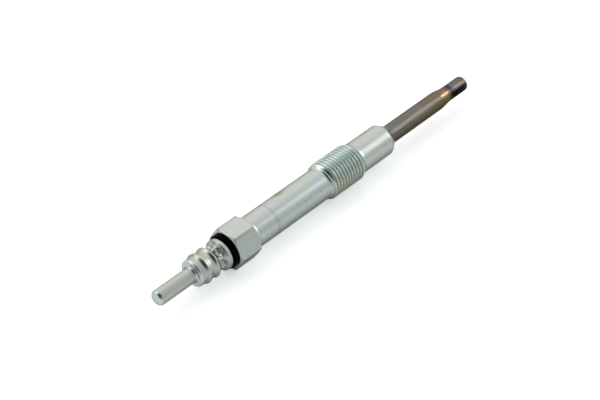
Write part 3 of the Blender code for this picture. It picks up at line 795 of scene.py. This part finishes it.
print("colours and masks along the axis are ready")

# %% [markdown]
# ## Zinc plating on the body
# Bright zinc is a thin clear-passivated coat.  It is satin, slightly green in one light and blue in another, with
# slow clouds, turning rings that show through, and a few specks.  The film has a tone of its own on the thread,
# with painted light on the thread's top, painted shade on its lower side and in its roots, and painted shade on
# the whole underside.  Every tone is laid over the one before it.

# %% Zinc: the clouds
ZINC = (0.52, 0.55, 0.53)
ZINC_GREEN = (0.50, 0.55, 0.50)
ZINC_BLUE = (0.48, 0.54, 0.55)
ZINC_WARM = (0.55, 0.55, 0.50)
ZINC_COOL = (0.50, 0.55, 0.55)

zinc, tree, shader = new_finish("zinc_plate", ZINC, 1.0, 0.28, edge=0.56)
drift = mix_colors(tree, marks(tree, cloud_marks, 0.07), ZINC_COOL, ZINC_WARM)
clouded = mix_colors(tree, marks(tree, cloud_marks, 0.45), ZINC_GREEN, ZINC_BLUE)
clouded = mix_colors(tree, marks(tree, cloud_marks, 0.9), clouded, ZINC)
clouded = mix_colors(tree, 0.5, clouded, drift)
print("zinc clouds:", len(tree.nodes), "nodes so far")

# %% Zinc: the thread's film with painted light and shade, and painted shade on the underside
# Thread film tones: painted light on top, painted shade below and in the roots; painted shade on the underside
THREAD_FILM_LIT_TOP = (0.67, 0.76, 0.745)
THREAD_FILM_SHADED_SIDE = (0.54, 0.57, 0.49)
THREAD_ROOT_SHADE = (0.73, 0.75, 0.73)
UNDERSIDE_SHADE = (0.85, 0.85, 0.84)

along = station_mask(tree, [(THREAD_START - 0.2, 0), (THREAD_START + 1.0, 1),
                            (THREAD_END - 1.0, 1), (THREAD_END - 0.2, 0)])
# Painted light and shade: the thread's top is made lighter and its lower side darker, by height.
thread_film_and_shade = mix_colors(tree, height_mask(tree, 7.0, 9.0), THREAD_FILM_SHADED_SIDE, THREAD_FILM_LIT_TOP)
# Painted shade in the thread's roots, where the radius is small.
root_shaded_thread = mix_colors(tree, 1.0, thread_film_and_shade, THREAD_ROOT_SHADE, "MULTIPLY")
root_shaded_thread = mix_colors(tree, ramp(tree, along, 0.85, 1.0), thread_film_and_shade, root_shaded_thread)
thread_film_and_shade = mix_colors(tree, radius_mask(tree, 4.55, 4.88), root_shaded_thread, thread_film_and_shade)
plating_and_shade = mix_colors(tree, along, clouded, thread_film_and_shade)
# Painted shade: the whole underside is made darker.
shaded_underside = mix_colors(tree, 1.0, plating_and_shade, UNDERSIDE_SHADE, "MULTIPLY")
plating_and_shade = mix_colors(tree, height_mask(tree, 3.4, 5.0), shaded_underside, plating_and_shade)
print("the thread's film runs from", round(THREAD_START, 2), "to", round(THREAD_END, 2))

# %% [markdown]
# Even a new part carries marks of making and handling: the shank has one dull ring round it, and there is a faint
# brown stain beside the ring.  The hexagon is also painted darker in a narrow strip just behind each corner.  Each
# of them is a mask of its place times a share, so that the clouds still show through it.

# %% Zinc: the darker strips behind the corners, the ring, the stain and the specks
CORNER_STRIP_DEGREES, CORNER_STRIP_SHARE, CORNER_STRIP = 9.0, 0.6, (0.26, 0.30, 0.27)
DULL_RING_SHARE, DULL_RING = 0.5, (0.36, 0.38, 0.36)
STAIN_CENTER = (42.8 + PIN_END_X / MM, 1.9, 8.9)
STAIN_SIZE = (3.0, 1.6, 1.4)
STAIN_SHARE, STAIN = 0.7, (0.28, 0.26, 0.18)
SPECK_SHARE, SPECK = 0.45, (0.10, 0.11, 0.10)

# A darker strip is painted just behind each of the hexagon's six corners.
on_hexagon = station_mask(tree, [(hex_face + 0.03, 0), (hex_face + 0.15, 1), (HEX_END - 0.3, 1), (HEX_END, 0)])
strip = math_node(tree, "MULTIPLY", on_hexagon, behind_corner(tree, CORNER_STRIP_DEGREES))
plating_and_shade = mix_colors(tree, math_node(tree, "MULTIPLY", strip, CORNER_STRIP_SHARE), plating_and_shade, CORNER_STRIP)
ring = station_mask(tree, [(36.55, 0), (36.85, 1), (37.15, 1), (37.5, 0)])
plating_and_shade = mix_colors(tree, math_node(tree, "MULTIPLY", ring, DULL_RING_SHARE), plating_and_shade, DULL_RING)
stain = spot_mask(tree, STAIN_CENTER, STAIN_SIZE)
plating_and_shade = mix_colors(tree, math_node(tree, "MULTIPLY", stain, STAIN_SHARE), plating_and_shade, STAIN)
specked = math_node(tree, "MULTIPLY", marks(tree, speck_marks, 1.3), SPECK_SHARE)
tree.links.new(mix_colors(tree, specked, plating_and_shade, SPECK), shader.inputs["Base Color"])
print("stain at", [round(value, 1) for value in STAIN_CENTER], "mm from the origin")

# %% Zinc: the sheen and the turning rings
lathe = marks(tree, ring_marks, 5.0)
fine = marks(tree, cloud_marks, 5.0)
sheen = math_node(tree, "ADD", math_node(tree, "MULTIPLY", lathe, 0.08), math_node(tree, "MULTIPLY", fine, 0.06))
tree.links.new(math_node(tree, "ADD", sheen, 0.21), shader.inputs["Roughness"])
height = math_node(tree, "ADD", lathe, math_node(tree, "MULTIPLY", fine, 0.7))
raise_surface(tree, shader, height, 0.0022)
body.data.materials.append(zinc)
print("zinc:", len(tree.nodes), "nodes")

# %% [markdown]
# ## The terminal's bright plate
# The terminal was turned with a fine feed and plated bright, so it reflects more clearly than the body.  Its
# rings are close and shallow, and its tone drifts a little.  The end of the pin and the face of the collar are
# painted paler.

# %% Make the bright finish
BRIGHT = (0.48, 0.51, 0.49)
BRIGHT_WARM = (0.50, 0.51, 0.46)
BRIGHT_FACES = (0.68, 0.74, 0.73)

bright, tree, shader = new_finish("bright_plate", BRIGHT, 1.0, 0.30, edge=0.5)
toned = mix_colors(tree, marks(tree, cloud_marks, 0.6), BRIGHT, BRIGHT_WARM)
faces = station_mask(tree, [(0.0, 1), (0.30, 1), (0.75, 0), (PIN_LENGTH - 0.35, 0),
                            (PIN_LENGTH - 0.05, 1), (PIN_LENGTH + 0.20, 1), (PIN_LENGTH + 0.60, 0)])
tree.links.new(mix_colors(tree, faces, toned, BRIGHT_FACES), shader.inputs["Base Color"])
lathe = marks(tree, ring_marks, 4.0)
tree.links.new(ramp(tree, lathe, 0.0, 1.0, 0.26, 0.34), shader.inputs["Roughness"])
raise_surface(tree, shader, lathe, 0.002)
terminal.data.materials.append(bright)
print("bright plate:", len(tree.nodes), "nodes")

# %% [markdown]
# ## Black moulding
# The disc is moulded in a very dark, glossy plastic.  It hardly reflects straight on, and fine flow marks and
# dust are all that break the black.

# %% Make the black moulding
BLACK = (0.0008, 0.0008, 0.001)
DUST = (0.02, 0.02, 0.022)

moulding, tree, shader = new_finish("black_plastic", BLACK, 0.0, 0.22)
shader.inputs["Specular IOR Level"].default_value = 0.015
dust = math_node(tree, "MULTIPLY", marks(tree, speck_marks, 3.0), 0.35)
tree.links.new(mix_colors(tree, dust, BLACK, DUST), shader.inputs["Base Color"])
tree.links.new(ramp(tree, marks(tree, cloud_marks, 1.5), 0.0, 1.0, 0.16, 0.28), shader.inputs["Roughness"])
raise_surface(tree, shader, marks(tree, cloud_marks, 3.0), 0.002)
insulator.data.materials.append(moulding)
print("moulding:", len(tree.nodes), "nodes")

# %% [markdown]
# ## The heater tube's tempered alloy
# The sheath is a nickel alloy that has been glowed once to test it.  The heat leaves oxide films whose colour
# tells how hot each place became: grey-brown on the cool part, straw and brown on the slope, then a narrow
# dark blue band, and olive grey on the tip itself.  A ramp along the axis paints them in that order.  The tube's
# lower side gets painted shade, darker and browner, and the tip is painted near black on its lower side.  Faint
# streaks along the tube come from swaging.

# %% Tempered alloy: the heat tints and the painted shade on the lower side
LOWER_SIDE_SHADE = (0.66, 0.63, 0.47)
TIP_UNDERSIDE_BLACK = (0.001, 0.001, 0.001)
WORN = (0.09, 0.08, 0.07)

tempered, tree, shader = new_finish("tempered_alloy", (0.17, 0.15, 0.13), 1.0, 0.32, edge=0.45)
films = station_ramp(tree, [
    (body_end - 1.0, (0.19, 0.185, 0.175)),
    (body_end + 8.0, (0.20, 0.185, 0.17)),
    (body_end + 14.0, (0.21, 0.18, 0.15)),
    (SWAGE_START - 1.5, (0.20, 0.165, 0.11)),
    (SWAGE_START + 1.0, (0.21, 0.16, 0.10)),
    (SWAGE_START + 1.8, (0.25, 0.185, 0.105)),
    (SWAGE_START + 3.2, (0.26, 0.185, 0.11)),
    (SWAGE_START + 4.3, (0.17, 0.105, 0.075)),
    (TIP_START + 0.35, (0.04, 0.033, 0.065)),
    (TIP_START + 1.15, (0.11, 0.14, 0.20)),
    (TIP_START + 2.1, (0.19, 0.19, 0.16)),
    (plug_length - 1.0, (0.17, 0.15, 0.10)),
    (plug_length, (0.20, 0.17, 0.11)),
], wobble=0.5)
# Painted shade: the tube's lower side is made darker and browner, and films carries it from here on.
shaded_lower_side = mix_colors(tree, 1.0, films, LOWER_SIDE_SHADE, "MULTIPLY")
films = mix_colors(tree, height_mask(tree, 5.3, 7.0), shaded_lower_side, films)
print("heat tints from", round(body_end, 2), "to", round(plug_length, 2))

# %% Tempered alloy: the tip's black lower side, the streaks and the sheen
# The tip is painted near black on its lower side.
tip_black_along = station_mask(tree, [(TIP_START - 1.0, 0), (TIP_START + 0.4, 1),
                           (plug_length - 2.2, 1), (plug_length - 0.4, 0.4)], wobble=0.5)
tip_underside_black = math_node(tree, "MULTIPLY", tip_black_along, ramp(tree, height_mask(tree, 5.6, 7.0), 0.0, 1.0, 1.0, 0.0))
films = mix_colors(tree, tip_underside_black, films, TIP_UNDERSIDE_BLACK)
drawn = marks(tree, streak_marks, 2.2)
streaked_tints_and_shade = mix_colors(tree, math_node(tree, "MULTIPLY", drawn, 0.35), films, WORN)
tree.links.new(streaked_tints_and_shade, shader.inputs["Base Color"])
patches = marks(tree, cloud_marks, 1.2)
tree.links.new(ramp(tree, patches, 0.0, 1.0, 0.28, 0.36), shader.inputs["Roughness"])
height = math_node(tree, "ADD", drawn, math_node(tree, "MULTIPLY", patches, 0.4))
raise_surface(tree, shader, height, 0.0012)
tube.data.materials.append(tempered)
print("tempered alloy:", len(tree.nodes), "nodes")

# %% [markdown]
# ## The pieces inside
# Nothing of the inside shows, but whoever opens the plug finds finished pieces: a drawn steel rod, two windings,
# pressed white powder and two rubber seals.  These CAD pieces keep their shape and only get their finish.

# %% Finish the rod and the windings
def drawn_wire(name, color, roughness):
    """Drawn metal with streaks along it."""
    material, tree, shader = new_finish(name, color, 1.0, roughness)
    drawn = marks(tree, streak_marks, 3.0)
    darker = tuple(0.6 * value for value in color)
    tree.links.new(mix_colors(tree, drawn, color, darker), shader.inputs["Base Color"])
    tree.links.new(ramp(tree, drawn, 0.0, 1.0, roughness - 0.06, roughness + 0.08), shader.inputs["Roughness"])
    raise_surface(tree, shader, drawn, 0.004)
    return material


def grainy(name, color, roughness, grains, depth_mm):
    """Matt stuff with a fine grain, such as rubber or pressed powder."""
    material, tree, shader = new_finish(name, color, 0.0, roughness)
    grain = marks(tree, cloud_marks, grains)
    darker = tuple(0.75 * value for value in color)
    tree.links.new(mix_colors(tree, grain, darker, color), shader.inputs["Base Color"])
    tree.links.new(ramp(tree, grain, 0.0, 1.0, roughness - 0.08, roughness + 0.08), shader.inputs["Roughness"])
    raise_surface(tree, shader, grain, depth_mm)
    return material


inner_finishes = {
    "centre_pole": drawn_wire("drawn_steel", (0.50, 0.50, 0.49), 0.32),
    "heating_coil": drawn_wire("dark_drawn_wire", (0.38, 0.34, 0.30), 0.38),
    "regulating_coil": drawn_wire("pale_drawn_wire", (0.55, 0.52, 0.45), 0.30),
    "insulating_powder": grainy("white_powder", (0.82, 0.81, 0.77), 0.88, 8.0, 0.02),
    "body_seal": grainy("black_rubber", (0.018, 0.018, 0.019), 0.6, 5.0, 0.006),
    "tube_seal": grainy("red_rubber", (0.24, 0.06, 0.04), 0.62, 5.0, 0.006),
}
for node_name, material in inner_finishes.items():
    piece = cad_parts[node_name]
    piece.data.materials.clear()
    piece.data.materials.append(material)
    print(node_name, "gets", material.name)

# %% [markdown]
# ## The CAD model's box
# The CAD model's box is printed at the end, in millimetres. The dressed plug has to stay in the CAD
# model's box.

# %% Print the CAD model's box
print("CAD box   ", [[round(value / MM, 2) for value in corner] for corner in cad_box])
